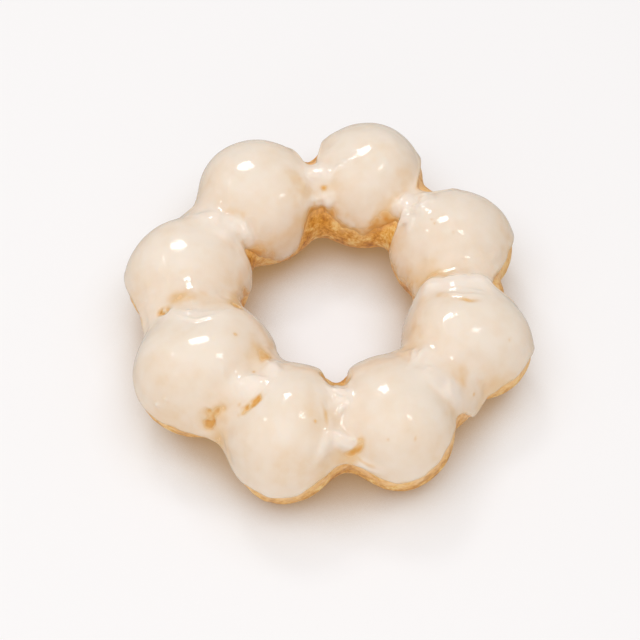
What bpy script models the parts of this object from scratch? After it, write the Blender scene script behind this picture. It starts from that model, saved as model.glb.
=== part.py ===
"""Glazed mochi doughnut: eight balls of dough fried together as one ring.

Two pieces are modelled. "dough_ring" is the fried dough, one body, with a small
flat under each ball where it rests. "glaze" is the skin of set glaze that was
poured over it: it closes the creases between the balls, and its lower edge runs
round the outside and round the inside of the ring.

Frame: +Z up, the origin under the middle of the ring at the level it rests on,
+Y away from the front. Lengths are in millimetres and angles in degrees until
the meshes are made, which are in metres. A bearing runs round the ring from +X
towards +Y. A section angle runs round the dough in the upright plane of one
bearing: 0 points outwards, 90 up and 180 into the hole.
"""

from typing import NamedTuple

import bpy
import numpy as np

MM = 0.001  # metres in a millimetre


# --- Driving dimensions ------------------------------------------------------


class Ball(NamedTuple):
    """One ball of dough, and how low the glaze runs on it."""

    bearing: float  # of its centre
    distance: float  # of its centre from the ring's axis
    half_across: float  # half size from the hole outwards
    half_along: float  # half size round the ring
    outer_edge: float  # height of the glaze's lower edge, outside
    inner_edge: float  # the same, in the hole


class Neck(NamedTuple):
    """The dough that joins two balls, and how low the glaze runs there."""

    bearing: float
    distance: float
    half_across: float
    outer_edge: float
    inner_edge: float


BALLS = (
    Ball(117.0, 34.4, 15.3, 14.0, 8.0, 10.5),
    Ball(76.0, 37.3, 15.2, 13.5, 8.5, 11.0),
    Ball(31.0, 33.4, 14.3, 12.8, 8.0, 9.5),
    Ball(-17.5, 32.2, 14.3, 12.9, 9.0, 8.5),
    Ball(-66.0, 34.2, 14.9, 12.6, 8.5, 8.0),
    Ball(-104.0, 35.0, 15.3, 12.8, 9.0, 8.0),
    Ball(-145.5, 32.3, 15.8, 14.2, 8.0, 8.5),
    Ball(165.5, 32.7, 13.9, 12.8, 8.0, 9.5),
)

# Each neck follows the ball of the same place in the list above.
NECKS = (
    Neck(94.5, 33.0, 8.6, 18.0, 17.0),
    Neck(52.5, 33.0, 8.3, 17.5, 16.0),
    Neck(6.5, 30.0, 9.9, 15.5, 11.0),
    Neck(-43.0, 31.3, 9.9, 13.5, 10.0),
    Neck(-85.0, 32.9, 8.7, 13.0, 10.0),
    Neck(-126.0, 31.3, 9.8, 10.5, 10.0),
    Neck(-173.0, 30.5, 10.9, 10.0, 11.0),
    Neck(142.5, 31.7, 9.2, 11.0, 16.0),
)

BALL_ROUNDNESS = 0.93  # a ball's half height over its mean half width
BALL_REST = 1.2  # depth that each ball is flattened underneath
NECK_HALF_ALONG = 8.5
NECK_REACH = 9.5  # from a neck's middle to its surface, about
NECK_ROUNDNESS = 0.86  # a neck's half height over its half width
NECK_MIDDLE = 11.3  # height of a neck's centre

CREASE_BLEND = 1.3  # how softly the dough's balls run into each other
GLAZE_BLEND = 1.9  # the same for the glaze, which fills the creases
GLAZE_OUTER = 0.8  # the glaze's outer face above the dough
GLAZE_INNER = 0.4  # its inner face above the dough
EDGE_NECK_SPAN = 6.0  # degrees over which the glaze's edge climbs into a neck


class Pool(NamedTuple):
    """A lump or fold where the glaze gathered before it set."""

    bearing: float
    section: float
    width: float
    rise: float


POOLS = (
    Pool(94.0, 115.0, 3.4, 1.2),
    Pool(92.4, 143.0, 3.0, 1.4),
    Pool(55.0, 122.0, 3.0, 1.0),
    Pool(43.5, 118.0, 3.4, 1.0),
    Pool(1.5, 135.0, 4.0, 1.3),
    Pool(1.0, 103.0, 4.2, 1.5),
    Pool(2.0, 72.0, 4.0, 1.0),
    Pool(-44.0, 113.0, 3.6, 1.2),
    Pool(-50.0, 92.0, 3.6, 1.0),
    Pool(-46.0, 62.0, 3.6, 1.0),
    Pool(-85.0, 106.0, 3.6, 1.0),
    Pool(-87.0, 47.0, 3.6, 1.8),
    Pool(-81.0, 17.0, 3.2, 1.2),
    Pool(-120.0, 98.0, 3.8, 1.2),
    Pool(-117.0, 123.0, 3.2, 1.2),
    Pool(-156.0, 88.0, 3.0, 0.6),
    Pool(-154.0, 108.0, 3.0, 0.6),
    Pool(145.5, 88.0, 3.8, 1.2),
    Pool(145.5, 125.0, 3.8, 1.4),
)

UNEVEN_SEED = 8
UNEVEN_WAVES = 14  # waves that make the dough's slight unevenness
UNEVEN_HEIGHT = 0.22  # their height together
UNEVEN_LENGTHS = (15.0, 26.0)  # their shortest and longest length

COLUMNS_PER_BALL = 12  # sections modelled from one neck to the next
COLUMN_CROWDING = 0.35  # how much closer they stand at the necks
DOUGH_ROWS = 28  # points round a section of dough
GLAZE_OUTER_ROWS = 17  # points on the glaze's outer face between its edges
GLAZE_INNER_ROWS = 12  # the same on its inner face
LIP = 4.0  # degrees from the glaze's edge to its full thickness
OUTER_SEARCH = np.radians(np.arange(-70.0, 91.0))  # section angles where the outer edge may lie
INNER_SEARCH = np.radians(np.arange(250.0, 89.0, -1.0))  # the same for the edge in the hole
BALL_FOCUS = 6.0  # how sharply a bearing takes its values from the nearest ball
LEVEL_TOLERANCE = 0.001  # points this close to the resting level lie on it

DOUGH_COLOUR = (200, 136, 62)  # fried golden brown, as screen values
GLAZE_COLOUR = (243, 226, 206)  # milky sugar glaze

REACH = 24.0  # farther from a section's middle than any surface
HALVINGS = 40  # steps that close in on a surface


# --- The form as a field -----------------------------------------------------


def lobes():
    """Centres, bearings and half sizes of all balls and necks, as arrays."""
    rows = []
    for ball in BALLS:
        half_height = BALL_ROUNDNESS * (ball.half_across + ball.half_along) / 2
        middle = half_height - BALL_REST
        rows.append((ball.bearing, ball.distance, middle, ball.half_across, ball.half_along, half_height))
    for neck in NECKS:
        half_height = NECK_ROUNDNESS * neck.half_across
        rows.append((neck.bearing, neck.distance, NECK_MIDDLE, neck.half_across, NECK_HALF_ALONG, half_height))
    table = np.array(rows).T
    bearing = np.radians(table[0])
    return bearing, table[1], table[2], table[3], table[4], table[5]


LOBE_BEARING, LOBE_DISTANCE, LOBE_MIDDLE, LOBE_ACROSS, LOBE_ALONG, LOBE_HEIGHT = lobes()


def lobe_distances(x, y, z):
    """Distance to each ellipsoid: scaled radius k0 times (k0 - 1) over its slope k1."""
    cos, sin = np.cos(LOBE_BEARING), np.sin(LOBE_BEARING)
    east, north = x[..., None], y[..., None]
    across = east * cos + north * sin - LOBE_DISTANCE
    along = north * cos - east * sin
    up = z[..., None] - LOBE_MIDDLE
    k0 = np.sqrt((across / LOBE_ACROSS) ** 2 + (along / LOBE_ALONG) ** 2 + (up / LOBE_HEIGHT) ** 2)
    k1 = np.sqrt((across / LOBE_ACROSS**2) ** 2 + (along / LOBE_ALONG**2) ** 2 + (up / LOBE_HEIGHT**2) ** 2)
    return k0 * (k0 - 1) / np.maximum(k1, 1e-9)


def soft_minimum(distances, blend):
    """The least distance, rounded where two are alike: -blend * log(sum(exp(-d / blend)))."""
    least = distances.min(axis=-1)
    near = np.exp((least[..., None] - distances) / blend)
    return least - blend * np.log(near.sum(axis=-1))


def unevenness(x, y, z):
    """Hand-made unevenness: a sum of long seeded sine waves through space."""
    random = np.random.default_rng(UNEVEN_SEED)
    total = np.zeros(np.shape(x))
    for _ in range(UNEVEN_WAVES):
        way = random.normal(size=3)
        way *= 2 * np.pi / (np.linalg.norm(way) * random.uniform(*UNEVEN_LENGTHS))
        total += np.sin(way[0] * x + way[1] * y + way[2] * z + random.uniform(0, 2 * np.pi))
    return total * UNEVEN_HEIGHT / np.sqrt(UNEVEN_WAVES / 2)


def dough_field(x, y, z):
    """Below zero inside the dough."""
    return soft_minimum(lobe_distances(x, y, z), CREASE_BLEND) + unevenness(x, y, z)


def resting_dough_field(x, y, z):
    """The dough cut off at the level that it rests on."""
    return np.maximum(dough_field(x, y, z), -z)


def glaze_face_field(x, y, z):
    """Below zero inside the glaze's outer face, before its pools are added."""
    glaze = soft_minimum(lobe_distances(x, y, z), GLAZE_BLEND) + unevenness(x, y, z)
    return np.minimum(glaze, dough_field(x, y, z)) - GLAZE_OUTER


# --- Sections ----------------------------------------------------------------


def section_middle(bearing):
    """Distance and height of the line inside the dough that sections turn round."""
    balls = slice(0, len(BALLS))
    weight = np.exp(BALL_FOCUS * np.cos(bearing[..., None] - LOBE_BEARING[balls]))
    total = weight.sum(axis=-1)
    return (weight * LOBE_DISTANCE[balls]).sum(axis=-1) / total, (weight * LOBE_MIDDLE[balls]).sum(axis=-1) / total


def to_space(bearing, section, reach):
    """The point at a reach from a section's middle."""
    distance, middle = section_middle(bearing)
    radius = distance + reach * np.cos(section)
    return radius * np.cos(bearing), radius * np.sin(bearing), middle + reach * np.sin(section)


def surface_reach(field, bearing, section, level=0.0):
    """How far from a section's middle a field comes up to a level, by halving."""
    inside = np.zeros(np.shape(section))
    outside = np.full(np.shape(section), REACH)
    for _ in range(HALVINGS):
        half = (inside + outside) / 2
        is_inside = field(*to_space(bearing, section, half)) < level
        inside = np.where(is_inside, half, inside)
        outside = np.where(is_inside, outside, half)
    return inside


def column_bearings():
    """Bearings of all sections, each neck on one of them, crowded near the necks."""
    necks = np.array([neck.bearing for neck in NECKS])
    spans = (necks - np.roll(necks, -1)) % 360.0
    part = np.arange(COLUMNS_PER_BALL) / COLUMNS_PER_BALL
    part = part - COLUMN_CROWDING * np.sin(2 * np.pi * part) / (2 * np.pi)
    bearings = necks[:, None] - part * spans[:, None]
    return np.radians(bearings.ravel()[::-1])


def pool_rise(bearing, section):
    """Extra glaze of all pools: each falls off as exp(-(distance / width) squared)."""
    distance, _ = section_middle(bearing)
    total = np.zeros(np.shape(section))
    for pool in POOLS:
        turn = (bearing - np.radians(pool.bearing) + np.pi) % (2 * np.pi) - np.pi
        across = (section - np.radians(pool.section)) * NECK_REACH
        along = turn * (distance + NECK_REACH * np.cos(section))
        total += pool.rise * np.exp(-(across**2 + along**2) / pool.width**2)
    return total


# --- The glaze's lower edges -------------------------------------------------


def edge_height(bearing, side):
    """Height of an edge: smooth from ball to ball, and climbing into each neck."""
    ball_heights = np.array([getattr(ball, side) for ball in BALLS])
    weight = np.exp(BALL_FOCUS * np.cos(bearing[:, None] - LOBE_BEARING[: len(BALLS)]))
    height = (weight * ball_heights).sum(axis=1) / weight.sum(axis=1)
    base = height.copy()
    for neck in NECKS:
        turn = (bearing - np.radians(neck.bearing) + np.pi) % (2 * np.pi) - np.pi
        climb = np.exp(-((turn / np.radians(EDGE_NECK_SPAN)) ** 2))
        height += (getattr(neck, side) - base) * climb
    return height


def edge_section(bearing, heights, sections):
    """The section angle at which the dough's surface has a given height."""
    across, down = np.broadcast_arrays(bearing[:, None], sections[None, :])
    reach = surface_reach(dough_field, across, down, GLAZE_INNER)
    rise = to_space(across, down, reach)[2]
    found = [np.interp(height, column, sections) for height, column in zip(heights, rise)]
    return np.array(found)


# --- Meshes ------------------------------------------------------------------


def dough_points():
    """A grid of points on the dough: one column a bearing, one row a section angle."""
    bearing = column_bearings()[:, None]
    section = (np.arange(DOUGH_ROWS) / DOUGH_ROWS * 2 * np.pi)[None, :]
    bearing, section = np.broadcast_arrays(bearing, section)
    reach = surface_reach(resting_dough_field, bearing, section)
    x, y, z = to_space(bearing, section, reach)
    z = np.where(z < LEVEL_TOLERANCE, 0.0, z)
    return np.stack([x, y, z], axis=-1)


def glaze_points():
    """A grid on the glaze: each column goes over its outer face and back under it."""
    bearing = column_bearings()
    outer = edge_section(bearing, edge_height(bearing, "outer_edge"), OUTER_SEARCH)
    inner = edge_section(bearing, edge_height(bearing, "inner_edge"), INNER_SEARCH)

    lip = np.radians(LIP)
    over = np.linspace(0.0, 1.0, GLAZE_OUTER_ROWS)
    under = np.linspace(1.0, 0.0, GLAZE_INNER_ROWS + 2)
    top = (outer + lip)[:, None] + over * (inner - outer - 2 * lip)[:, None]
    bottom = outer[:, None] + under * (inner - outer)[:, None]

    across = np.broadcast_to(bearing[:, None], top.shape)
    thick = surface_reach(glaze_face_field, across, top) + pool_rise(across, top)
    top_points = to_space(across, top, thick)
    across = np.broadcast_to(bearing[:, None], bottom.shape)
    thin = surface_reach(dough_field, across, bottom, GLAZE_INNER)
    bottom_points = to_space(across, bottom, thin)
    return np.stack([np.hstack(pair) for pair in zip(top_points, bottom_points)], axis=-1)


def ring_mesh(name, points):
    """A closed mesh from a grid that joins up with itself both ways."""
    columns, rows = points.shape[:2]
    number = np.arange(columns * rows).reshape(columns, rows)
    next_column = np.roll(number, -1, axis=0)
    quads = np.stack([number, next_column, np.roll(next_column, -1, axis=1), np.roll(number, -1, axis=1)], axis=-1)
    mesh = bpy.data.meshes.new(name)
    mesh.from_pydata((points.reshape(-1, 3) * MM).tolist(), [], quads.reshape(-1, 4).tolist())
    mesh.update()
    mesh.shade_smooth()
    return mesh


# --- Materials and objects ---------------------------------------------------


def linear(screen_colour):
    """A colour of 0 to 255 screen values as linear red, green, blue and alpha."""
    part = np.array(screen_colour) / 255
    light = np.where(part <= 0.04045, part / 12.92, ((part + 0.055) / 1.055) ** 2.4)
    return (*light.tolist(), 1.0)


def make_material(name, colour, roughness, coat):
    """A Principled material without metal, with a share of clear coat."""
    material = bpy.data.materials.new(name)
    material.use_nodes = True
    shader = material.node_tree.nodes["Principled BSDF"]
    shader.inputs["Base Color"].default_value = linear(colour)
    shader.inputs["Metallic"].default_value = 0.0
    shader.inputs["Roughness"].default_value = roughness
    shader.inputs["Coat Weight"].default_value = coat
    return material


def add_piece(name, points, material):
    """One named piece at the origin, its place in its mesh."""
    piece = bpy.data.objects.new(name, ring_mesh(name, points))
    piece.data.materials.append(material)
    bpy.context.scene.collection.objects.link(piece)
    return piece


def main():
    for old in list(bpy.data.objects):
        bpy.data.objects.remove(old, do_unlink=True)

    dough = dough_points()
    glaze = glaze_points()
    both = np.concatenate([dough.reshape(-1, 3), glaze.reshape(-1, 3)])
    middle = (both.min(axis=0) + both.max(axis=0)) / 2
    middle[2] = 0.0

    add_piece("dough_ring", dough - middle, make_material("fried_dough", DOUGH_COLOUR, 0.55, 0.0))
    add_piece("glaze", glaze - middle, make_material("sugar_glaze", GLAZE_COLOUR, 0.22, 0.3))


main()
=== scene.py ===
# %% [markdown]
# # A glazed mochi doughnut
# A mochi doughnut is a ring of eight balls of rice dough that swell into each other in the fryer.
# It is then turned upside down in warm sugar glaze, and the glaze runs down over the balls and
# sets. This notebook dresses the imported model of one: the model gives the place and the size of
# every piece, and the cells below give each piece its surface and its finish.

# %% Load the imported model
import itertools
from typing import NamedTuple

import bpy
import numpy as np
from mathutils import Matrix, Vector


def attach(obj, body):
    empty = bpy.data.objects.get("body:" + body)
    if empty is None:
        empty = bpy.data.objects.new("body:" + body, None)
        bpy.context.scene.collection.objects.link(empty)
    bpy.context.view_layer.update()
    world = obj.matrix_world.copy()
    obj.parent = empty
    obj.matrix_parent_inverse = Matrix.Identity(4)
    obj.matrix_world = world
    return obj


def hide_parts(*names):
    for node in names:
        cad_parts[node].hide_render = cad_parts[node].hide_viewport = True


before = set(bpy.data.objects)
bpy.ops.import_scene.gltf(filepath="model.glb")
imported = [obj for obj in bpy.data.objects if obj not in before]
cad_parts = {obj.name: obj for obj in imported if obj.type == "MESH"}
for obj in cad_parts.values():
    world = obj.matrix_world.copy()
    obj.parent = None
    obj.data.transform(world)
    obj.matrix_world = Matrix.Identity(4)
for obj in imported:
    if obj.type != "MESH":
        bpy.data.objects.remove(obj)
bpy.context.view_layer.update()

MM = 0.001  # metres in a millimetre

# %% [markdown]
# ## Camera
# The photograph looks down on the ring at a little more than half a right angle, from straight
# in front and from far off, so the balls at the back are nearly as large as those in front. A
# long lens does this. A camera aimed from a target point is easier to check than typed angles:
# the point stands under the middle of the picture, and the camera backs off from it.

# %% Aim a long lens at the ring
CAMERA_ELEVATION = np.radians(53.0)
CAMERA_TARGET = (-1.39, 4.37, 0.0)  # mm
CAMERA_DISTANCE = 418.0  # mm
CAMERA_LENS = 101.25  # mm, on a sensor 36 mm wide


def aim(thing, target, direction, distance):
    """Put an object at target + distance * direction, looking back at the target."""
    way = Vector(direction).normalized()
    thing.location = Vector(target) * MM + way * distance * MM
    thing.rotation_euler = way.to_track_quat("Z", "Y").to_euler()
    bpy.context.scene.collection.objects.link(thing)


camera = bpy.data.objects.new("camera", bpy.data.cameras.new("camera"))
camera.data.lens = CAMERA_LENS
camera.data.sensor_width = 36.0
camera.data.clip_start = 0.01
towards_camera = (0.0, -np.cos(CAMERA_ELEVATION), np.sin(CAMERA_ELEVATION))
aim(camera, CAMERA_TARGET, towards_camera, CAMERA_DISTANCE)
bpy.context.scene.camera = camera
print("camera stands at", [round(value, 3) for value in camera.location])

# %% [markdown]
# ## Light
# Pale food is photographed in a white surround, which fills every shadow, with one window-like
# softbox behind it that draws the bright spots on the wet-looking glaze. Two small lamps at the
# sides draw the weaker second spots. Area lights are used, because a spot on a glossy ball is a
# picture of the lamp: its size and shape come from the lamp's size and shape. Two broad lamps,
# a silk overhead and a card in front, only fill, so the glaze doesn't mirror them.

# %% White surround, one softbox and two small lamps
LIGHT_TARGET = (0.0, 0.0, 12.0)  # mm
LIGHT_DISTANCE = 800.0  # mm
SURROUND = 0.52  # brightness of the white surround


def add_lamp(name, direction, width, height, brightness):
    """A rectangular lamp facing the ring; its power is brightness * pi * its area in metres."""
    lamp = bpy.data.lights.new(name, "AREA")
    lamp.shape = "RECTANGLE"
    lamp.size = width
    lamp.size_y = height
    lamp.energy = brightness * np.pi * width * height
    holder = bpy.data.objects.new(name, lamp)
    aim(holder, LIGHT_TARGET, direction, LIGHT_DISTANCE)
    return holder


add_lamp("softbox", (-0.20, 0.57, 0.82), 0.19, 0.15, 11.0)
add_lamp("right_lamp", (0.39, -0.03, 0.92), 0.09, 0.13, 5.5)
add_lamp("left_lamp", (-0.62, 0.22, 0.75), 0.06, 0.06, 5.0)
for name, direction, width, height, brightness in (
    ("silk", (-0.12, -0.30, 0.94), 0.70, 0.70, 1.92),
    ("front_card", (-0.10, -0.90, 0.38), 0.60, 0.35, 1.0),
):
    broad_lamp = add_lamp(name, direction, width, height, brightness)
    broad_lamp.visible_glossy = False  # too broad to draw a spot

surround = bpy.data.worlds.new("surround")
surround.use_nodes = True
surround.node_tree.nodes["Background"].inputs["Color"].default_value = (1.0, 0.95, 0.89, 1.0)
surround.node_tree.nodes["Background"].inputs["Strength"].default_value = SURROUND
bpy.context.scene.world = surround
bpy.context.scene.view_settings.view_transform = "Standard"

# %% [markdown]
# ## Colours and a floor with painted light
# Colours are easiest to judge as the screen values of 0 to 255 that a picture shows. Blender's
# shaders work with amounts of light instead, so one helper turns screen values into those. The
# floor is a single pale sheet that belongs to the stage, not to the doughnut. It also gives off a
# little light of its own, which is painted light. That glow is dimmer and warmer close to the ring,
# a painted shade that deepens the real shade there.

# %% Colour helper and floor
def linear(screen_colour):
    """Screen values as light: ((value + 0.055) / 1.055) to the power 2.4, with alpha 1."""
    part = np.array(screen_colour) / 255
    light = np.where(part <= 0.04045, part / 12.92, ((part + 0.055) / 1.055) ** 2.4)
    return (*light.tolist(), 1.0)


def new_material(name):
    """A material with a Principled shader, and its node tree."""
    material = bpy.data.materials.new(name)
    material.use_nodes = True
    return material, material.node_tree, material.node_tree.nodes["Principled BSDF"]


FLOOR_HALF = 1500.0  # mm
floor_mesh = bpy.data.meshes.new("floor")
corners = [(-1, -1, 0), (1, -1, 0), (1, 1, 0), (-1, 1, 0)]
floor_mesh.from_pydata((np.array(corners) * FLOOR_HALF * MM).tolist(), [], [(0, 1, 2, 3)])
floor = bpy.data.objects.new("floor", floor_mesh)
bpy.context.scene.collection.objects.link(floor)
floor_paint, floor_tree, floor_shader = new_material("floor_paint")
floor_shader.inputs["Base Color"].default_value = (0.44, 0.44, 0.44, 1.0)
floor_shader.inputs["Roughness"].default_value = 0.7
floor_shader.inputs["Specular IOR Level"].default_value = 0.0
near = floor_tree.nodes.new("ShaderNodeAmbientOcclusion")
near.samples = 6
near.inputs["Distance"].default_value = 0.016
glow = floor_tree.nodes.new("ShaderNodeValToRGB")
# painted shade and glow of the floor: dim and warm close to the ring, bright on the open floor
GLOW_STOPS = (  # from close to the ring to the open floor
    (0.40, (0.18, 0.10, 0.03)), (0.57, (0.37, 0.345, 0.325)), (0.90, (0.49, 0.48, 0.49)),
)
glow.color_ramp.elements.new(GLOW_STOPS[1][0])
for element, (place, light) in zip(glow.color_ramp.elements, GLOW_STOPS):
    element.position = place
    element.color = (*light, 1.0)
floor_tree.links.new(near.outputs["AO"], glow.inputs["Fac"])
floor_tree.links.new(glow.outputs["Color"], floor_shader.inputs["Emission Color"])
floor_shader.inputs["Emission Strength"].default_value = 1.0
floor_mesh.materials.append(floor_paint)
floor.visible_glossy = False  # at its rims the glaze mirrors the surround, which is dimmer

# %% [markdown]
# ## The ring as a field
# The dough is soft and round everywhere, so it is described by a field instead of by faces: a
# function of space that is below zero inside. Each ball and each neck between two balls is an
# ellipsoid with its own field. A soft minimum joins them, which rounds the crease where two
# balls meet just as swelling dough does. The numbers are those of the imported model, so what
# follows fits it. The swells and dips come on top: fried dough isn't quite round, and a rise of
# a millimetre at most moves the bright spots on it to about where the photograph has them. Only
# in the fold between the two balls on the left do they reach 1.5 mm. Lengths are in
# millimetres, and angles in degrees: a bearing runs round the ring, and a section angle runs
# round the dough, from 0 outside over 90 on top to 180 in the hole.

# %% Balls and necks
class Ball(NamedTuple):
    """One ball of dough."""

    bearing: float
    distance: float
    half_across: float
    half_along: float


class Neck(NamedTuple):
    """The dough that joins two balls."""

    bearing: float
    distance: float
    half_across: float


BALLS = (
    Ball(117.0, 34.4, 15.3, 14.0),
    Ball(76.0, 37.3, 15.2, 13.5),
    Ball(31.0, 33.4, 14.3, 12.8),
    Ball(-17.5, 32.2, 14.3, 12.9),
    Ball(-66.0, 34.2, 14.9, 12.6),
    Ball(-104.0, 35.0, 15.3, 12.8),
    Ball(-145.5, 32.3, 15.8, 14.2),
    Ball(165.5, 32.7, 13.9, 12.8),
)
NECKS = (
    Neck(94.5, 33.0, 8.6),
    Neck(52.5, 33.0, 8.3),
    Neck(6.5, 30.0, 9.9),
    Neck(-43.0, 31.3, 9.9),
    Neck(-85.0, 32.9, 8.7),
    Neck(-126.0, 31.3, 9.8),
    Neck(-173.0, 30.5, 10.9),
    Neck(142.5, 31.7, 9.2),
)
BALL_ROUNDNESS = 0.93
BALL_REST = 1.2
NECK_HALF_ALONG = 8.5
NECK_ROUNDNESS = 0.86
NECK_MIDDLE = 11.3
RING_MIDDLE = np.array((-0.344, 1.230, 0.0))  # where the model's origin lies in ring numbers


def lobes():
    """Bearing, distance, height and three half sizes of every ball and neck."""
    rows = []
    for ball in BALLS:
        half_height = BALL_ROUNDNESS * (ball.half_across + ball.half_along) / 2
        rows.append((np.radians(ball.bearing), ball.distance, half_height - BALL_REST,
                     ball.half_across, ball.half_along, half_height))
    for neck in NECKS:
        rows.append((np.radians(neck.bearing), neck.distance, NECK_MIDDLE,
                     neck.half_across, NECK_HALF_ALONG, NECK_ROUNDNESS * neck.half_across))
    return np.array(rows).T


LOBE_BEARING, LOBE_DISTANCE, LOBE_MIDDLE, LOBE_ACROSS, LOBE_ALONG, LOBE_HEIGHT = lobes()
print("lobes in the field:", len(LOBE_BEARING))

# %% The line inside the dough
def section_middle(bearing):
    """The line inside the dough: a mean of the balls' middles, weighted by exp(6 * cos(turn))."""
    balls = slice(0, len(BALLS))
    weight = np.exp(6.0 * np.cos(bearing[..., None] - LOBE_BEARING[balls]))
    total = weight.sum(axis=-1)
    distance = (weight * LOBE_DISTANCE[balls]).sum(axis=-1) / total
    middle = (weight * LOBE_MIDDLE[balls]).sum(axis=-1) / total
    return distance, middle


def to_space(bearing, section, reach):
    """The point at a reach along the ray of a bearing and a section angle."""
    distance, middle = section_middle(bearing)
    radius = distance + reach * np.cos(section)
    height = middle + reach * np.sin(section)
    return np.stack([radius * np.cos(bearing), radius * np.sin(bearing), height], axis=-1)


# %% Swells and dips
SWELLS = (  # bearing, section angle, rise and width of places where a ball isn't quite round
    (129, 60, 0.5, 8), (117, 104, -0.9, 8), (67, 78, 0.8, 8), (85, 98, -0.6, 8),
    (25, 99, 0.26, 5), (37, 109, -0.26, 5), (31, 105, -0.08, 3), (-35, 109, 0.6, 7),
    (-16, 107, -0.4, 7), (-61, 112, 0.5, 5), (-69, 97, 0.12, 2.5), (-99, 86, 0.3, 5),
    (-104, 90, 0.12, 2.5), (-134, 91, 0.5, 7), (-151, 83, -0.4, 7), (161, 64, 0.4, 7),
    (169, 98, -0.3, 7), (165, 82, -0.08, 3), (-171, 97, 1.3, 5), (-160, 97, -1.5, 3.5),
    (-179, 99, 0.4, 2.5), (5, 105, -0.5, 5), (94.5, 44, 1.0, 4), (58, 14, 0.5, 5),
)
SWELL_REACH = 14.5  # mm from the line inside the dough to the middle of each swell
swell_bearing, swell_section, swell_rise, swell_width = np.array(SWELLS).T
SWELL_PLACES = to_space(np.radians(swell_bearing), np.radians(swell_section), SWELL_REACH)
print("swells and dips:", len(SWELLS))

# %% Distances, soft minimum and unevenness
CREASE_BLEND = 1.3  # mm over which the dough rounds a crease
GLAZE_BLEND = 1.9  # mm over which the glaze does
GLAZE_THICKNESS = 0.55  # mm
WAVES = 14
WAVE_LENGTHS = (15.0, 26.0)  # mm, least and most
WAVE_HEIGHT = 0.22  # mm, about what the waves add up to


def lobe_distances(x, y, z):
    """Distance to each ellipsoid: scaled radius k0 times (k0 - 1) over its slope k1."""
    cos, sin = np.cos(LOBE_BEARING), np.sin(LOBE_BEARING)
    east, north = x[..., None], y[..., None]
    across = east * cos + north * sin - LOBE_DISTANCE
    along = north * cos - east * sin
    up = z[..., None] - LOBE_MIDDLE
    k0 = np.sqrt((across / LOBE_ACROSS) ** 2 + (along / LOBE_ALONG) ** 2 + (up / LOBE_HEIGHT) ** 2)
    k1 = np.sqrt(
        (across / LOBE_ACROSS**2) ** 2 + (along / LOBE_ALONG**2) ** 2 + (up / LOBE_HEIGHT**2) ** 2
    )
    return k0 * (k0 - 1) / np.maximum(k1, 1e-9)


def soft_minimum(distances, blend):
    """The least distance, rounded where two are alike: -blend * log(sum(exp(-d / blend)))."""
    least = distances.min(axis=-1)
    near = np.exp((least[..., None] - distances) / blend)
    return least - blend * np.log(near.sum(axis=-1))


def unevenness(x, y, z):
    """Unevenness: a sum of long seeded sine waves through space."""
    random = np.random.default_rng(8)
    total = np.zeros(np.shape(x))
    for _ in range(WAVES):
        way = random.normal(size=3)
        way *= 2 * np.pi / (np.linalg.norm(way) * random.uniform(*WAVE_LENGTHS))
        total += np.sin(way[0] * x + way[1] * y + way[2] * z + random.uniform(0, 2 * np.pi))
    return total * WAVE_HEIGHT / np.sqrt(WAVES / 2)


def swelling(x, y, z):
    """How far the swells lift the surface: the sum of rise * exp(-(distance / width) squared)."""
    away = np.stack([x, y, z], axis=-1)[..., None, :] - SWELL_PLACES
    return (swell_rise * np.exp(-(away**2).sum(axis=-1) / swell_width**2)).sum(axis=-1)


def dough_field(x, y, z):
    """Below zero inside the dough."""
    ring = soft_minimum(lobe_distances(x, y, z), CREASE_BLEND)
    return ring + unevenness(x, y, z) - swelling(x, y, z)


def glaze_field(x, y, z):
    """Below zero inside the glaze, which fills the creases more than the dough does."""
    distances = lobe_distances(x, y, z)
    least = np.minimum(soft_minimum(distances, GLAZE_BLEND), soft_minimum(distances, CREASE_BLEND))
    return least + unevenness(x, y, z) - swelling(x, y, z) - GLAZE_THICKNESS


# %% [markdown]
# ## From field to grid
# A surface is wanted as a grid, with columns round the ring and rows round the dough. Each grid
# point lies on a ray that starts at the line inside the dough and leaves at the row's section
# angle. Halving the ray again and again finds where the field turns positive. All rays are
# halved at once as one array, which takes a few seconds.

# %% Rays and halving
REACH = 24.0  # mm, farther than any surface
HALVINGS = 24
COLUMNS_PER_BALL = 83
COLUMN_CROWDING = 0.45  # 0 would space the columns evenly


def surface_reach(field, bearing, section):
    """How far along each ray the field comes up to zero, by halving."""
    inside = np.zeros(np.shape(section))
    outside = np.full(np.shape(section), REACH)
    for _ in range(HALVINGS):
        half = (inside + outside) / 2
        is_inside = field(*np.moveaxis(to_space(bearing, section, half), -1, 0)) < 0
        inside = np.where(is_inside, half, inside)
        outside = np.where(is_inside, outside, half)
    return inside


def column_bearings():
    """Bearings of all columns, closer together at the necks, where the forms are small."""
    necks = np.array([neck.bearing for neck in NECKS])
    spans = (necks - np.roll(necks, -1)) % 360.0
    part = np.arange(COLUMNS_PER_BALL) / COLUMNS_PER_BALL
    part = part - COLUMN_CROWDING * np.sin(2 * np.pi * part) / (2 * np.pi)
    bearings = necks[:, None] - part * spans[:, None]
    return np.radians(bearings.ravel()[::-1])


BEARINGS = column_bearings()
print("columns round the ring:", len(BEARINGS))

# %% Grid to mesh
GRAIN_VALUES = 4096
GRAIN_PRIMES = np.array((73856093, 19349663, 83492791))  # they scatter the corners over the values


def grain(points, size, seed):
    """Random values on the corners of cubes of a size, blended smoothly in between."""
    table = np.random.default_rng(seed).uniform(-1.0, 1.0, GRAIN_VALUES)
    corner = np.floor(points / size).astype(np.int64)
    part = points / size - corner
    part = part * part * (3 - 2 * part)
    total = np.zeros(points.shape[:-1])
    for step in itertools.product((0, 1), repeat=3):
        weight = np.prod(np.where(step, part, 1 - part), axis=-1)
        total += weight * table[(corner + step) @ GRAIN_PRIMES % GRAIN_VALUES]
    return total


def grains(points, *layers):
    """A sum of grains, each given as its height, size and seed."""
    return sum(height * grain(points, size, seed) for height, size, seed in layers)


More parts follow.
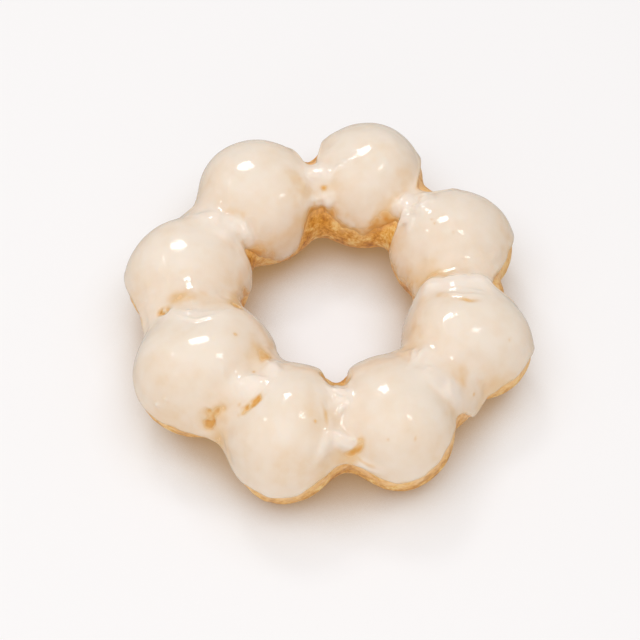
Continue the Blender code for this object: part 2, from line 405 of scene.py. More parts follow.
def ring_piece(name, points, material):
    """A closed piece from a grid that joins up with itself both ways."""
    columns, rows = points.shape[:2]
    number = np.arange(columns * rows).reshape(columns, rows)
    beside = np.roll(number, -1, axis=0)
    quads = np.stack(
        [number, beside, np.roll(beside, -1, axis=1), np.roll(number, -1, axis=1)], axis=-1
    )
    places = (points - RING_MIDDLE).reshape(-1, 3) * MM
    mesh = bpy.data.meshes.new(name)
    mesh.from_pydata(places.tolist(), [], quads.reshape(-1, 4).tolist())
    mesh.shade_smooth()
    mesh.materials.append(material)
    piece = bpy.data.objects.new(name, mesh)
    bpy.context.scene.collection.objects.link(piece)
    print(name, "has", 2 * len(mesh.polygons), "triangles")
    return piece


def add_attribute(piece, name, values):
    """One number a point, kept on the mesh for the material to read."""
    attribute = piece.data.attributes.new(name, "FLOAT", "POINT")
    attribute.data.foreach_set("value", values.ravel().astype(np.float32))


# %% [markdown]
# ## Fried dough
# The crust of a mochi doughnut is thin, golden and finely pitted, with shallow blisters where
# steam pushed out. Blisters and pits of a millimetre or more are made as real relief, so that
# they catch the light and show in the outline. Anything finer is left to the material.

# %% Crust relief and the dough piece
DOUGH_ROWS = 148
PIT_LEVEL = 0.35  # a higher level leaves fewer pits
PIT_DEPTH = 0.35  # mm


def crust(points):
    """Low blisters, plus small pits where a finer grain rises over a level."""
    pits = np.clip(grain(points, 1.2, 23) - PIT_LEVEL, 0.0, None)
    return grains(points, (0.10, 3.1, 21), (0.08, 1.5, 22)) - PIT_DEPTH * pits


dough_section = (np.arange(DOUGH_ROWS) / DOUGH_ROWS * 2 * np.pi)[None, :]
bearing, dough_section = np.broadcast_arrays(BEARINGS[:, None], dough_section)
dough_reach = surface_reach(
    lambda x, y, z: np.maximum(dough_field(x, y, z), -z), bearing, dough_section
)
dough_points = to_space(bearing, dough_section, dough_reach)
dough_points = to_space(bearing, dough_section, dough_reach + crust(dough_points))
dough_points[..., 2] = np.maximum(dough_points[..., 2], 0.0)
print("dough height in mm:", round(float(dough_points[..., 2].max()), 2))

# %% [markdown]
# The colour of fried crust wanders between gold and brown in soft patches, with fine flecks in
# them. Two noise patterns, a broad and a fine one, are added up, and a colour ramp turns the sum
# into browning. The crust is paler close to the glaze: an attribute on the mesh says how much,
# and mixes a paler colour in. A third and very fine noise is left to bump, as the crumb.

# %% Fried dough material
def add_node(tree, kind, **inputs):
    """A shader node with some of its sockets set; a name's _ stands for a space."""
    node = tree.nodes.new(kind)
    for name, value in inputs.items():
        node.inputs[name.replace("_", " ")].default_value = value
    return node


def set_ramp(node, stops):
    """Colours of a ramp, from a list of place and screen colour."""
    ramp = node.color_ramp
    while len(ramp.elements) < len(stops):
        ramp.elements.new(1.0)
    for element, (place, colour) in zip(ramp.elements, stops):
        element.position = place
        element.color = linear(colour)


def add_noise(tree, coordinates, scale, detail, roughness):
    """A noise texture on the object's own coordinates."""
    noise = add_node(tree, "ShaderNodeTexNoise", Scale=scale, Detail=detail, Roughness=roughness)
    tree.links.new(coordinates.outputs["Object"], noise.inputs["Vector"])
    return noise


fried_dough, tree, shader = new_material("fried_dough")
coordinates = tree.nodes.new("ShaderNodeTexCoord")
patches = add_noise(tree, coordinates, 240.0, 5.0, 0.68)
flecks = add_noise(tree, coordinates, 900.0, 3.0, 0.7)
both = add_node(tree, "ShaderNodeMath")
both.operation = "MULTIPLY_ADD"
both.inputs[1].default_value = 0.6
tree.links.new(flecks.outputs["Fac"], both.inputs[0])
tree.links.new(patches.outputs["Fac"], both.inputs[2])
browning = tree.nodes.new("ShaderNodeValToRGB")
set_ramp(browning, [
    (0.62, (178, 110, 26)), (0.72, (208, 141, 46)), (0.82, (230, 170, 76)), (0.95, (246, 210, 138)),
])
tree.links.new(both.outputs["Value"], browning.inputs["Fac"])
washed = add_node(tree, "ShaderNodeAttribute")
washed.attribute_name = "washed"
wash = add_node(tree, "ShaderNodeMix")
wash.data_type = "RGBA"
wash.inputs["B"].default_value = linear((248, 205, 148))
tree.links.new(washed.outputs["Fac"], wash.inputs["Factor"])
tree.links.new(browning.outputs["Color"], wash.inputs["A"])
tree.links.new(wash.outputs["Result"], shader.inputs["Base Color"])
shader.inputs["Roughness"].default_value = 0.5
crumb = add_noise(tree, coordinates, 1500.0, 2.0, 0.6)
bump = add_node(tree, "ShaderNodeBump", Strength=0.5, Distance=0.0002)
tree.links.new(crumb.outputs["Fac"], bump.inputs["Height"])
tree.links.new(bump.outputs["Normal"], shader.inputs["Normal"])

dough = ring_piece("fried_ring", dough_points, fried_dough)
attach(dough, "root")
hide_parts("dough_ring")

# %% [markdown]
# ## Where the glaze ends
# The glaze doesn't reach the underside. Its lower edge is a wavy line on the outside of the
# ring and another in the hole, low on each ball and pulled up at each neck, where it left the
# crust bare. Both lines are given as points of bearing and section angle, closer together where
# the edge climbs into a neck, and a small seeded grain roughens them. They follow the photograph
# where it shows the edge, and are a guess elsewhere.

# %% The glaze's two edges
OUTER_EDGE = (
    (-178, 12), (-171, 14), (-163, 10), (-157, 9), (-151, 7), (-146, 4), (-140, 0), (-134, -2),
    (-128, -6), (-124, -8), (-119, -8), (-112, -6), (-107, -5), (-103, -6), (-97, -5),
    (-94.5, 1), (-92, 6), (-89.5, 11), (-86.8, 14), (-84, 12), (-81.4, 8), (-79, 2), (-76, -4),
    (-72, -8), (-69, -5), (-66, -1), (-63, 5), (-60.5, 11), (-58, 17), (-55, 21), (-51.5, 22),
    (-49, 24), (-46.5, 20), (-44.6, 8), (-43, -6), (-41, -12), (-38.4, -8), (-35, 0), (-32, 2),
    (-30, 4), (-27.5, 6), (-23, 8), (-19, 8), (-15, 0), (-12, -10), (-6, -10), (-3, 14),
    (-1, 48), (1, 62), (3, 61), (5, 57), (8, 49), (10.5, 36), (13, 26), (16, 20), (19.5, 20),
    (22, 14), (25, 6), (30, -4), (35, -14), (42, 0), (46, 72), (49, 84), (54, 88), (57, 64),
    (62, 16), (68, -8), (76, -16), (85, -12), (91, 22), (94, 86), (96.5, 93), (99, 86),
    (103, 32), (108, -10), (117, -18), (127, -16), (136, 4), (141, 34), (146, 26), (150, 2),
    (157, -14), (165, -8), (172, 2), (178, 10),
)
INNER_EDGE = (
    (-175, 172), (-168, 172), (-160, 180), (-145, 186), (-133, 182), (-126, 172), (-119, 180),
    (-106, 186), (-96, 176), (-91, 142), (-88, 134), (-85, 144), (-82, 136), (-78, 168),
    (-66, 188), (-52, 182), (-44, 168), (-36, 184), (-18, 188), (-8, 178), (2, 172), (8, 176),
    (12, 178), (18, 184), (24, 185), (32, 185), (42, 186), (48, 178), (51, 150), (54, 150),
    (56, 157), (59, 163), (62, 168), (66, 175), (71, 178), (75, 177), (79, 174), (83, 170),
    (86, 165), (88, 160), (92, 157), (99, 158), (102, 163), (104.5, 171), (108, 183),
    (112, 192), (118, 197), (124, 195), (130, 190), (135, 182), (139, 172), (142, 160),
    (144, 152), (147, 156), (150, 176), (158, 184), (168, 182), (176, 176),
)
EDGE_SMOOTHING = 0.7  # degrees of bearing
EDGE_STEP = 0.25  # degrees of bearing between the values that are smoothed
EDGE_RADIUS = 34.0  # mm, where the grain that roughens the edges is read


def edge_line(marks, seed):
    """The edge's section angle at every column: marks joined, softened, and roughened a little."""
    table = np.arange(-180.0, 180.0, EDGE_STEP)
    marks = np.array(marks, dtype=float)
    angle = np.interp(table, marks[:, 0], marks[:, 1], period=360.0)
    kernel = np.exp(-0.5 * (np.arange(-10, 11) * EDGE_STEP / EDGE_SMOOTHING) ** 2)
    angle = np.convolve(np.pad(angle, 10, mode="wrap"), kernel / kernel.sum(), mode="valid")
    angle = np.interp(np.degrees(BEARINGS), table, angle, period=360.0)
    level = np.zeros(len(BEARINGS))
    places = EDGE_RADIUS * np.stack([np.cos(BEARINGS), np.sin(BEARINGS), level], axis=-1)
    return np.radians(angle + grains(places, (3.0, 4.5, seed), (2.2, 1.7, seed + 1)))


outer_edge = edge_line(OUTER_EDGE, 31)
inner_edge = edge_line(INNER_EDGE, 41)
lowest, highest = np.degrees(outer_edge.min()).round(), np.degrees(outer_edge.max()).round()
print("outer edge between section angles", lowest, "and", highest)

# %% [markdown]
# Below the glaze's edge the crust isn't at its full colour at once, because a film of sugar too
# thin to see as glaze dried on it. The mesh knows how far each point lies below an edge, so this
# paleness is worked out from that distance, and kept as the attribute that the material reads.

# %% Dough that a film of glaze has paled
WASH_OVERLAP = 1.5  # mm that the paler dough goes on under the glaze


def washed_below(gap, amount, fade):
    """Paler dough below an edge: amount * exp(-(gap / fade) squared), and none far above it."""
    return amount * np.exp(-((np.clip(gap, 0, None) / fade) ** 2)) * (gap > -WASH_OVERLAP)


signed_section = np.where(dough_section > np.pi, dough_section - 2 * np.pi, dough_section)
below_outer = (outer_edge[:, None] - signed_section) * dough_reach
below_inner = (dough_section - inner_edge[:, None]) * dough_reach
wash_amount = np.maximum(washed_below(below_outer, 0.75, 3.0), washed_below(below_inner, 0.35, 1.6))
wash_amount = wash_amount * (1 + 0.9 * grain(dough_points, 0.9, 27))
add_attribute(dough, "washed", np.clip(wash_amount, 0.0, 1.0))
print("dough paled at", int((wash_amount > 0.1).sum()), "of", wash_amount.size, "points")

# %% [markdown]
# ## Folds, lumps and thin places
# As it set, the glaze slid off the tops of the balls and piled up in the creases: as lumps, as
# taut films with a crest, and as thin strands. In other places it ran so thin that the crust
# shows through. Each such form is a brush stroke: a few marks along a path on the surface, and
# a rise of so many millimetres at each mark. Away from the path the rise fades, quickly on one
# side and slowly on the other if the form has a steep side. Left and right are as seen from
# above by someone who walks along the stroke.

# %% Strokes of glaze
class Stroke(NamedTuple):
    """A form along a path of marks (bearing, section angle, rise)."""

    core: float  # mm from the path that keep the full rise
    left: float  # mm over which it fades on the left
    right: float  # the same on the right
    marks: tuple


PUDDLES = (  # bearing, section angle, rise and width of glaze that filled the creases
    (94.0, 115, 0.5, 2.6), (93.0, 146, 0.5, 2.2), (51.5, 124, 0.8, 2.4), (45.5, 110, 0.6, 2.6),
    (0.0, 140, 0.7, 2.6), (0.5, 112, 0.8, 2.8), (0.0, 82, 0.7, 2.4), (-45.0, 113, 0.5, 2.6),
    (-49.0, 88, 0.5, 2.6), (-47.5, 62, 0.5, 2.4), (-85.0, 106, 0.6, 2.4), (-86.5, 56, 0.6, 2.4),
    (-82.0, 19, 0.4, 2.2), (-120.0, 92, 0.7, 2.8), (-117.0, 123, 0.6, 2.4),
    (-159.0, 92, 0.3, 2.6), (146.0, 96, 0.6, 2.8), (146.0, 125, 0.7, 2.8),
)
POOLS = tuple(Stroke(0.0, width, width, (place,)) for *place, width in PUDDLES)
FOLDS = (
    # between the two balls at the back
    Stroke(0.7, 1.2, 1.2, ((100, 109, 0.2), (97, 112, 0.6), (93.6, 114, 0.75),
                           (90.4, 117, 0.35))),
    Stroke(0.8, 1.0, 1.2, ((103, 143, 0.2), (99.5, 146, 0.5), (96, 147, 0.7), (92, 146, 0.7),
                           (89, 142, 0.4))),
    Stroke(0.4, 0.8, 0.8, ((95.5, 101, 0.2), (93.5, 105, 0.45), (91.5, 109, 0.3))),
    Stroke(0.1, 0.6, 0.6, ((80.2, 101, 0.05), (82.0, 104, 0.3), (83.4, 107, 0.1))),
    Stroke(0.1, 0.6, 0.6, ((84.0, 109, 0.1), (85.6, 111, 0.35), (87.6, 116, 0.3),
                           (88.4, 120, 0.1))),
    # between the back right and the right back ball
    Stroke(0.4, 0.7, 2.0, ((56.6, 143, 0.1), (55.6, 136, 0.55), (54.8, 127, 0.7),
                           (54.4, 116, 0.65), (54.2, 105, 0.2))),
    Stroke(0.6, 0.9, 0.9, ((52.6, 134, 0.5), (50.8, 131, 0.8), (49.2, 134, 0.5))),
    Stroke(0.7, 0.9, 0.9, ((49.5, 105, 0.4), (47.4, 101, 0.8), (45.2, 104, 0.5))),
    Stroke(0.5, 0.8, 0.8, ((49.0, 142, 0.4), (46.8, 136, 0.65), (43.8, 133, 0.6),
                           (41.0, 137, 0.3))),
    Stroke(0.5, 0.8, 0.8, ((46.5, 120, 0.5), (43.8, 115, 0.6), (41.0, 114, 0.3))),
    # the taut film of the right front ball, drawn up against the right back one
    Stroke(0.5, 1.2, 2.6, ((-2.5, 157, 0.2), (0.6, 149, 0.6), (1.8, 138, 0.9), (0.6, 126, 0.95),
                           (0.2, 113, 0.95), (1.2, 98, 0.95), (1.2, 82, 0.8), (-0.8, 70, 0.5),
                           (-3.6, 60, 0.2))),
    Stroke(0.2, 0.6, 0.7, ((-3.6, 131, 0.05), (-5.4, 118, 0.35), (-5.9, 102, 0.4),
                           (-5.9, 86, 0.3), (-5.0, 76, 0.05))),
    Stroke(0.2, 0.6, 0.7, ((-8.6, 126, 0.05), (-9.8, 115, 0.3), (-10.4, 101, 0.35),
                           (-8.8, 87, 0.25), (-7.0, 78, 0.05))),
    Stroke(0.2, 0.5, 0.5, ((-3.4, 118, 0.2), (-1.4, 112, 0.5), (1.0, 105, 0.5), (3.2, 97, 0.2))),
    # between the right front and the front right ball
    Stroke(0.5, 1.8, 1.8, ((-52.6, 92, 0.2), (-50.4, 82, 0.5), (-48.8, 68, 0.6),
                           (-47.4, 50, 0.55), (-46.4, 34, 0.35), (-45.6, 20, 0.15))),
    Stroke(0.2, 0.6, 0.6, ((-40.8, 118, 0.1), (-44.0, 116, 0.45), (-47.5, 114, 0.5),
                           (-51.2, 112, 0.4), (-55.5, 109, 0.1))),
    Stroke(0.2, 0.5, 0.5, ((-45.5, 126, 0.2), (-48.0, 121, 0.35), (-50.5, 116, 0.3),
                           (-53.5, 112, 0.1))),
    Stroke(0.3, 0.8, 0.8, ((-48.6, 97, 0.35), (-53.8, 91, 0.2))),
    # between the front right and the front left ball
    Stroke(0.3, 0.8, 0.9, ((-91, 117, 0.1), (-88.5, 113, 0.35), (-85.4, 111, 0.45),
                           (-82.4, 111, 0.2))),
    Stroke(0.2, 0.6, 0.6, ((-86.8, 101, 0.35), (-84.2, 99, 0.35))),
    Stroke(0.15, 0.5, 0.5, ((-87.2, 82, 0.1), (-85.8, 88, 0.5), (-83.8, 96, 0.2))),
    Stroke(0.3, 1.0, 1.0, ((-89.2, 66, 0.2), (-90.2, 56, 0.5), (-91.2, 46, 0.55),
                           (-92.2, 36, 0.2))),
    Stroke(0.5, 1.0, 1.1, ((-89.0, 59, 0.4), (-86.4, 53, 0.75), (-83.6, 49, 0.85),
                           (-82.2, 47, 0.5))),
    Stroke(0.1, 0.4, 0.4, ((-87.6, 57, 0.1), (-85.6, 52, 0.3), (-83.4, 50, 0.1))),
    Stroke(0.4, 0.9, 0.8, ((-82.8, 29, 0.2), (-80.8, 24, 0.4), (-78.6, 18, 0.4),
                           (-76.2, 13, 0.2))),
    # between the front left and the left front ball
    Stroke(0.5, 1.3, 2.2, ((-124.5, 84, 0.2), (-122.5, 91, 0.6), (-119.5, 98, 0.8),
                           (-116, 101, 0.75), (-113.2, 99, 0.3))),
    Stroke(0.7, 1.1, 1.1, ((-120.5, 140, 0.2), (-117.5, 130, 0.6), (-114.8, 118, 0.65),
                           (-112.8, 107, 0.25))),
    Stroke(0.1, 0.4, 0.4, ((-140.3, 20, 0.45),)),
    Stroke(0.0, 0.4, 0.4, ((-138.6, 29, 0.4),)),
    # the left front ball's glaze, drawn up against the left back one
    Stroke(0.3, 1.0, 2.2, ((-168.2, 54, 0.1), (-166.6, 65, 0.4), (-164.4, 75, 0.45),
                           (-161.6, 86, 0.4), (-159.0, 96, 0.35), (-156.4, 107, 0.35),
                           (-154.0, 118, 0.35), (-152.2, 129, 0.1))),
    Stroke(0.15, 0.5, 0.7, ((-164.6, 74, 0.1), (-160.2, 83, 0.45), (-156.6, 90, 0.55),
                            (-154.2, 97, 0.6), (-152.6, 108, 0.5), (-152.8, 119, 0.15))),
    Stroke(0.3, 0.6, 0.7, ((-162.0, 88, 0.3), (-160.8, 92, 0.75), (-160.0, 96, 0.3))),
    # the left back ball's glaze, lying over the back left one
    Stroke(0.5, 1.1, 2.6, ((147.5, 76, 0.1), (145.4, 87, 0.35), (143.8, 98, 0.5),
                           (143.2, 108, 0.5), (142.0, 117, 0.55), (140.6, 126, 0.6),
                           (139.8, 136, 0.6), (141.0, 145, 0.55), (144.2, 151, 0.35),
                           (147, 154, 0.1))),
    Stroke(1.0, 1.4, 1.4, ((148.5, 102, 0.2), (147.8, 115, 0.35), (147.0, 128, 0.4),
                           (146.4, 138, 0.2))),
)
print("strokes:", len(POOLS), "pools and", len(FOLDS), "folds")

# %% Thin places, painted shade and bare places
THIN_AND_SHADE = (
    # broad tan places in the creases and hollows: partly glaze that ran thin there, partly painted
    # shade
    Stroke(0.6, 1.8, 1.8, ((-41.0, 80, 0.2), (-40.3, 68, 0.5), (-39.8, 57, 0.45),
                           (-39.0, 48, 0.1))),
    Stroke(0.6, 1.5, 1.5, ((4.6, 150, 0.4), (6.4, 138, 0.45), (5.6, 122, 0.45),
                           (6.6, 108, 0.25))),
    Stroke(0.6, 1.6, 1.6, ((-172.6, 68, 0.2), (-171.6, 82, 0.5), (-170.8, 98, 0.5),
                           (-171, 108, 0.25))),
    Stroke(0.5, 1.4, 1.4, ((107, 105, 0.2), (105.0, 115, 0.35), (103.6, 126, 0.4),
                           (100.5, 134, 0.4))),
    Stroke(0.8, 2.0, 2.0, ((118, 166, 0.25), (108, 158, 0.3))),
    Stroke(0.4, 1.2, 1.2, ((59.2, 146, 0.45), (58.2, 136, 0.45), (57.4, 124, 0.3),
                           (56.4, 110, 0.2))),
    Stroke(0.5, 1.3, 1.3, ((-128.6, 130, 0.3), (-124.6, 134, 0.6), (-121.4, 132, 0.75),
                           (-120.0, 124, 0.4))),
    Stroke(0.5, 1.5, 1.5, ((-124.6, 62, 0.3), (-125.2, 48, 0.4))),
    Stroke(0.5, 2.0, 2.0, ((-96.0, 90, 0.2), (-94.8, 78, 0.25), (-94.5, 64, 0.2))),
    Stroke(0.6, 1.6, 1.6, ((-88.7, 39, 0.3), (-86.2, 32, 0.5), (-83.6, 30, 0.5))),
    Stroke(0.8, 2.0, 2.0, ((-88.0, 60, 0.2), (-85.0, 52, 0.2))),
    Stroke(0.4, 1.2, 1.2, ((138.0, 112, 0.3), (136.8, 124, 0.35))),
    Stroke(0.5, 1.5, 1.5, ((-176.0, 155, 0.45), (-168.0, 147, 0.5), (-160.5, 138, 0.45))),
    # narrow tan lines and flecks
    Stroke(0.2, 0.5, 0.5, ((91.8, 132, 0.9),)),
    Stroke(0.15, 0.5, 0.6, ((-13.2, 107, 0.1), (-13.0, 101, 0.6), (-12.8, 93, 0.7),
                            (-11.6, 84, 0.1))),
    Stroke(0.4, 0.8, 0.8, ((-9.6, 124, 0.4), (-10.6, 119, 0.3))),
    Stroke(0.1, 0.4, 0.6, ((-92.2, 90, 0.2), (-91.4, 83, 0.45), (-90.8, 77, 0.5),
                           (-90.4, 69, 0.2))),
    Stroke(0.1, 0.35, 0.35, ((-93.9, 70, 0.85),)),
    Stroke(0.1, 0.4, 0.4, ((-83.0, 34, 0.4), (-80.8, 27, 0.55), (-78.9, 21, 0.5),
                           (-77.2, 18, 0.1))),
    Stroke(0.3, 0.5, 0.7, ((-84.6, 35, 0.6), (-82.6, 38, 0.95), (-81.2, 44, 0.95),
                           (-80.8, 50, 0.6))),
    Stroke(0.1, 0.35, 0.35, ((-121.8, 110, 0.7),)),
    Stroke(0.1, 0.35, 0.35, ((-119.5, 67, 0.4),)),
    Stroke(0.1, 0.4, 0.4, ((-138.7, 117, 0.7),)),
    Stroke(0.1, 0.3, 0.3, ((31.9, 113, 0.5),)),
    Stroke(0.1, 0.3, 0.3, ((34.7, 113, 0.5),)),
    Stroke(0.1, 0.35, 0.35, ((-40, 28, 0.6),)),
    Stroke(0.1, 0.3, 0.3, ((-73.6, 48, 0.5),)),
    Stroke(0.1, 0.3, 0.3, ((-66.3, 42, 0.5),)),
    Stroke(0.1, 0.3, 0.3, ((-20.9, 44, 0.5),)),
    Stroke(0.1, 0.3, 0.3, ((22.9, 104, 0.35),)),
)
BARE = (
    Stroke(0.5, 0.6, 0.6, ((-112.8, 90, 0.2), (-113.6, 84, 0.8), (-114.6, 78, 1.0),
                           (-115.8, 71, 1.0), (-117.0, 64, 0.9), (-118.2, 59, 0.2))),
    Stroke(0.5, 0.9, 0.9, ((-127.4, 37, 0.6), (-127.0, 29, 0.95), (-127.0, 20, 0.8))),
    Stroke(0.2, 0.9, 0.9, ((-124.6, 52, 0.45), (-126.0, 44, 0.5))),
    Stroke(0.5, 0.7, 0.7, ((-168.4, 61, 0.9), (-167.6, 67, 0.8))),
    Stroke(0.6, 0.5, 0.5, ((-160.5, 142, 1.0),)),
    Stroke(0.3, 0.8, 0.8, ((83, 169, 0.7), (80, 172, 0.6), (77.5, 174, 0.4))),
    Stroke(0.4, 0.8, 0.8, ((-91.6, 134, 0.9), (-89.6, 130, 1.0))),
    Stroke(0.4, 0.8, 0.8, ((-83.4, 131, 1.0), (-81.6, 134, 0.7))),
    Stroke(0.3, 0.7, 0.7, ((96.0, 90, 0.9), (98.4, 88, 0.5))),
)
print("thin places:", len(THIN_AND_SHADE), "and bare places:", len(BARE))

# %% How far a stroke reaches
def stroke_path(marks):
    """Marks joined by a smooth curve that passes through each of them (Catmull-Rom)."""
    marks = np.array(marks, dtype=float)
    if len(marks) == 1:  # a dot is a stroke of a twentieth of a degree
        marks = np.vstack([marks, marks + (0.05, 0.0, 0.0)])
    padded = np.vstack([2 * marks[0] - marks[1], marks, 2 * marks[-1] - marks[-2]])
    before, start, end, after = (padded[i : len(padded) - 3 + i, None] for i in range(4))
    part = (np.arange(4) / 4)[None, :, None]
    curve = 0.5 * (
        2 * start
        + (end - before) * part
        + (2 * before - 5 * start + 4 * end - after) * part**2
        + (3 * start - before - 3 * end + after) * part**3
    )
    return np.vstack([curve.reshape(-1, 3), marks[-1]])


def stroke_rise(stroke, points, outwards):
    """Rise of a stroke: its marks' rise times exp(-(distance beyond the core / fade) squared)."""
    path = stroke_path(stroke.marks)
    bearing, section = np.radians(path[:, 0]), np.radians(path[:, 1])
    places = to_space(bearing, section, surface_reach(glaze_field, bearing, section))
    reach = stroke.core + 3 * max(stroke.left, stroke.right)
    total = np.zeros(points.shape[:2])
    low_corner, high_corner = places.min(axis=0) - reach, places.max(axis=0) + reach
    near = (points > low_corner).all(axis=-1) & (points < high_corner).all(axis=-1)
    spots, normal = points[near], outwards[near]
    nearest = np.full(len(spots), np.inf)
    rise, side = np.zeros(len(spots)), np.zeros(len(spots))
    for start, end, low, high in zip(places[:-1], places[1:], path[:-1, 2], path[1:, 2]):
        leg = end - start
        part = np.clip((spots - start) @ leg / (leg @ leg), 0.0, 1.0)
        offset = spots - start - part[:, None] * leg
        distance = np.linalg.norm(offset, axis=-1)
        closer = distance < nearest
        left = np.cross(normal, leg) / np.linalg.norm(leg)
        lean = (offset * left).sum(axis=-1) / np.maximum(distance, 1e-6)
        nearest = np.where(closer, distance, nearest)
        rise = np.where(closer, low + part * (high - low), rise)
        side = np.where(closer, lean, side)
    fade = stroke.right + (stroke.left - stroke.right) * (0.5 + 0.5 * np.clip(side, -1, 1))
    total[near] = rise * np.exp(-((np.maximum(nearest - stroke.core, 0) / fade) ** 2))
    return total


def all_rises(strokes, points, outwards):
    """Rises that overlap don't pile up: the cube root of the sum of their cubes."""
    return np.cbrt(sum(stroke_rise(stroke, points, outwards) ** 3 for stroke in strokes))


# %% [markdown]
# ## The skin of glaze
# The outer face starts at the lower edge outside, goes over the ring and ends at the edge in the
# hole. At both edges it is rounded like a drop, and it thins towards the edge in the hole. The
# outer edge has a bead just above it, where the last glaze gathered. The inner face goes back just
# under the crust, so the skin is a closed solid that no light leaks through.

# %% Outer and inner face
OUTER_ROWS = 118
LIP_ANGLES = (0.0, 0.25, 0.8, 1.7, 2.9)  # degrees from the edge to the close rows of its lip
FIRST_WIDE_ROW = 4.5  # degrees from the edge to the evenly spaced rows

lip = np.radians(np.array(LIP_ANGLES))[None, :]
between = np.linspace(0.0, 1.0, OUTER_ROWS)[None, :]
start, stop = outer_edge[:, None], inner_edge[:, None]
first, last = start + np.radians(FIRST_WIDE_ROW), stop - np.radians(FIRST_WIDE_ROW)
section = np.hstack([start + lip, first + between * (last - first), stop - lip[:, ::-1]])
bearing = np.broadcast_to(BEARINGS[:, None], section.shape)
crust_reach = surface_reach(dough_field, bearing, section)
full_reach = surface_reach(glaze_field, bearing, section)
face = to_space(bearing, section, full_reach)
level = np.cos(section)
outwards = np.stack([level * np.cos(bearing), level * np.sin(bearing), np.sin(section)], axis=-1)
print("outer face:", section.shape, "points")

# %% Rumpled creases and warped strokes
def drift(points, size, height, seed):
    """Points moved about at random: the moves change over a size and reach a height."""
    moves = [grain(points, size, seed + way) for way in range(3)]
    return points + height * np.stack(moves, axis=-1)


def soft_step(value):
    """Rises from 0 to 1 while the value does, and levels off smoothly: 1 - (1 - value) squared."""
    return 1 - (1 - np.clip(value, 0, 1)) ** 2


CREASE_FILL = 0.4  # mm of extra glaze that make a full crease
RUMPLE_HEIGHT = 0.16  # mm
RIDGE_ROUNDING = 0.03  # keeps the top of a ridge from being sharp
brushed = drift(face, 2.4, 0.35, 61)
crease = np.clip((full_reach - crust_reach - GLAZE_THICKNESS) / CREASE_FILL, 0, 1)
ridge = 1 - 2 * np.sqrt(grain(drift(face, 2.6, 0.8, 71), 3.4, 54) ** 2 + RIDGE_ROUNDING)
rumple = RUMPLE_HEIGHT * crease * ridge
print("rumple between", rumple.min().round(2), "and", rumple.max().round(2), "mm")

# %% Thickness of the glaze
LIP_WIDTH = 1.0  # mm
INSIDE_THINNING = 5.0  # mm from the edge in the hole to full thickness
BEAD_RISE = 0.14  # mm
BEAD_PLACE = 1.3  # mm from the outer edge
BARE_THINNING = 0.55  # part of the thickness that a bare place loses
EDGE_DIP = 0.05  # mm that the very edge lies in the crust
rise = all_rises(POOLS, brushed, outwards) + all_rises(FOLDS, brushed, outwards)
ripple = grains(face, (0.05, 6.0, 52), (0.035, 3.0, 53), (0.010, 1.1, 55))
ripple += 0.05 * grain(face, 1.3, 56) * np.clip(1.5 * rise, 0, 1)
bare = np.clip(all_rises(BARE, brushed, outwards) * (1 + 0.8 * grain(face, 0.9, 51)), 0, 1)
outside_gap, inside_gap = (section - start) * crust_reach, (stop - section) * crust_reach
from_edge = np.minimum(outside_gap, inside_gap)
rounding = np.sqrt(1 - (1 - np.clip(from_edge / LIP_WIDTH, 0, 1)) ** 2)
rounding = rounding * (0.15 + 0.85 * soft_step(inside_gap / INSIDE_THINNING))
bead = BEAD_RISE * np.exp(-((outside_gap - BEAD_PLACE) ** 2))
thickness = full_reach - crust_reach + rise + ripple + rumple
thickness = (thickness + bead) * rounding * (1 - BARE_THINNING * bare)
thickness = thickness - EDGE_DIP * (from_edge < 1e-6)
relief = crust(to_space(bearing, section, crust_reach)) * np.exp(-np.clip(thickness, 0, None) / 0.3)
outer_face = to_space(bearing, section, crust_reach + relief + thickness)
print("glaze in mm:", np.median(thickness).round(2), "median,", thickness.max().round(2), "most")

# %% How deep the glaze looks, with painted shade
OUTSIDE_VEIL = 1.5  # mm from the outer edge to full cover
INSIDE_VEIL = 4.5  # mm from the edge in the hole to full cover
VEIL_LAG = 0.6  # mm in from the edge in the hole to where the cover begins
# painted shade in part: upright sides lose cover and come out tan, partly from glaze that ran thin
# there and partly from the warmer shade of the sides
OUTSIDE_STEEPNESS, INSIDE_STEEPNESS = 0.27, 0.24  # part of the cover lost on an upright side
# painted shade: a full crease loses cover and comes out tan, though the glaze is thickest there
RISE_COVER, PAINTED_CREASE_SHADE = 0.4, -0.12  # mm of cover for each mm of rise, and in a full crease
LEAST_COVER = 0.10  # part of the cover that is left at the very edge
patchy = grains(face, (1.2, 2.6, 81), (0.9, 1.2, 82), (0.5, 0.6, 86))
veil = soft_step((outside_gap + 0.4 * patchy) / OUTSIDE_VEIL)
veil = veil * soft_step((inside_gap + patchy - VEIL_LAG) / INSIDE_VEIL)
# thin places and painted shade both take cover away, which turns the glaze tan
thin_and_shade = np.clip(all_rises(THIN_AND_SHADE, brushed, outwards) * (1 + 0.25 * grain(face, 1.2, 83)), 0, 1)
side_thinning_and_shade = np.where(section < np.pi / 2, OUTSIDE_STEEPNESS, INSIDE_STEEPNESS)
side_thinning_and_shade = side_thinning_and_shade * np.abs(level) ** 1.5
cover_and_shade = GLAZE_THICKNESS * (1.04 - side_thinning_and_shade) + RISE_COVER * rise + PAINTED_CREASE_SHADE * crease
cover_and_shade = cover_and_shade + grains(face, (0.07, 4.5, 84), (0.05, 1.8, 85))
cover_and_shade = cover_and_shade * (LEAST_COVER + (1 - LEAST_COVER) * veil)
cover_and_shade = np.clip(cover_and_shade * (1 - thin_and_shade) * (1 - bare), 0, None)
print("cover in mm:", np.median(cover_and_shade).round(2), "median,", cover_and_shade.max().round(2), "most")

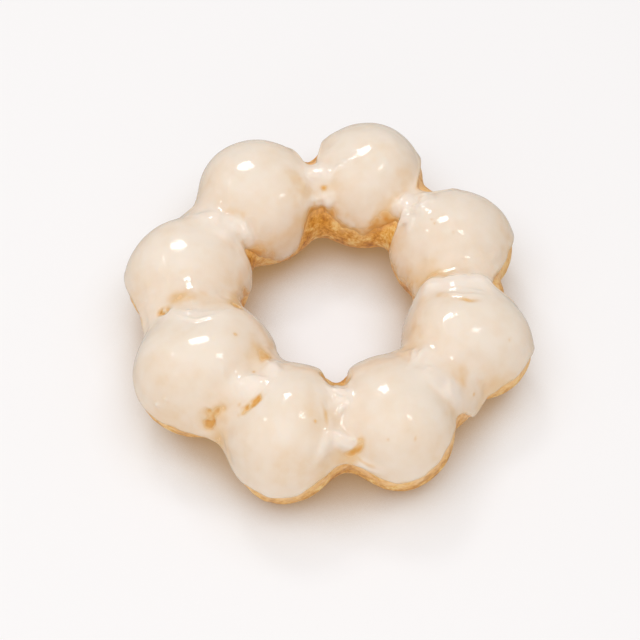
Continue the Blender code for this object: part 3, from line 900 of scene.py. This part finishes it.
# %% Close the skin
INNER_ROWS = 16
SUNK = 0.7  # mm that the inner face lies under the crust
under = np.linspace(1.0, 0.0, INNER_ROWS)[None, :]
below = start + under * (stop - start)
across = np.broadcast_to(BEARINGS[:, None], below.shape)
inner_face = to_space(across, below, surface_reach(dough_field, across, below) - SUNK)
glaze_points = np.concatenate([outer_face, inner_face], axis=1)
cover_and_shade = np.concatenate([cover_and_shade, np.zeros(below.shape)], axis=1)
print("skin grid:", glaze_points.shape[:2])

# %% [markdown]
# Sugar glaze is milky, so its colour says how thick it is: golden where the crust shines through,
# tan where it is thin, cream over the balls and nearly white in the lumps. How deep the glaze looks
# is kept on the mesh as an attribute, and a colour ramp reads it. The attribute also holds painted
# shade, which tans the creases, some broad hollows and, in part, the upright sides.

# %% Glaze material
DEEP = 1.4  # mm of glaze that hide the crust altogether
sugar_glaze, tree, shader = new_material("sugar_glaze")
coordinates = tree.nodes.new("ShaderNodeTexCoord")
cover_and_shade_reader = add_node(tree, "ShaderNodeAttribute")
cover_and_shade_reader.attribute_name = "cover_and_shade"
cloud = add_noise(tree, coordinates, 110.0, 4.0, 0.62)
mixed = add_node(tree, "ShaderNodeMath")
mixed.operation = "MULTIPLY_ADD"
mixed.inputs[1].default_value = 0.30
tree.links.new(cloud.outputs["Fac"], mixed.inputs[0])
tree.links.new(cover_and_shade_reader.outputs["Fac"], mixed.inputs[2])
milk = tree.nodes.new("ShaderNodeValToRGB")
set_ramp(milk, [
    (0.15, (222, 163, 80)), (0.24, (227, 187, 132)), (0.33, (231, 203, 169)),
    (0.43, (236, 217, 197)), (0.55, (240, 226, 212)), (0.80, (243, 231, 220)),
])
tree.links.new(mixed.outputs["Value"], milk.inputs["Fac"])
tree.links.new(milk.outputs["Color"], shader.inputs["Base Color"])
gloss = add_node(tree, "ShaderNodeMapRange")
gloss.inputs["From Min"].default_value = 0.15
gloss.inputs["From Max"].default_value = 0.40
gloss.inputs["To Min"].default_value = 0.42
gloss.inputs["To Max"].default_value = 0.12
tree.links.new(mixed.outputs["Value"], gloss.inputs["Value"])
tree.links.new(gloss.outputs["Result"], shader.inputs["Roughness"])
shader.inputs["IOR"].default_value = 1.47
shader.inputs["Specular IOR Level"].default_value = 0.8
shader.inputs["Subsurface Weight"].default_value = 0.5
shader.inputs["Subsurface Radius"].default_value = (1.0, 0.82, 0.66)
shader.inputs["Subsurface Scale"].default_value = 0.0016

glaze = ring_piece("glaze_skin", glaze_points, sugar_glaze)
add_attribute(glaze, "cover_and_shade", np.clip(cover_and_shade / DEEP, 0.0, 1.0))
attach(glaze, "root")
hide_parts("glaze")
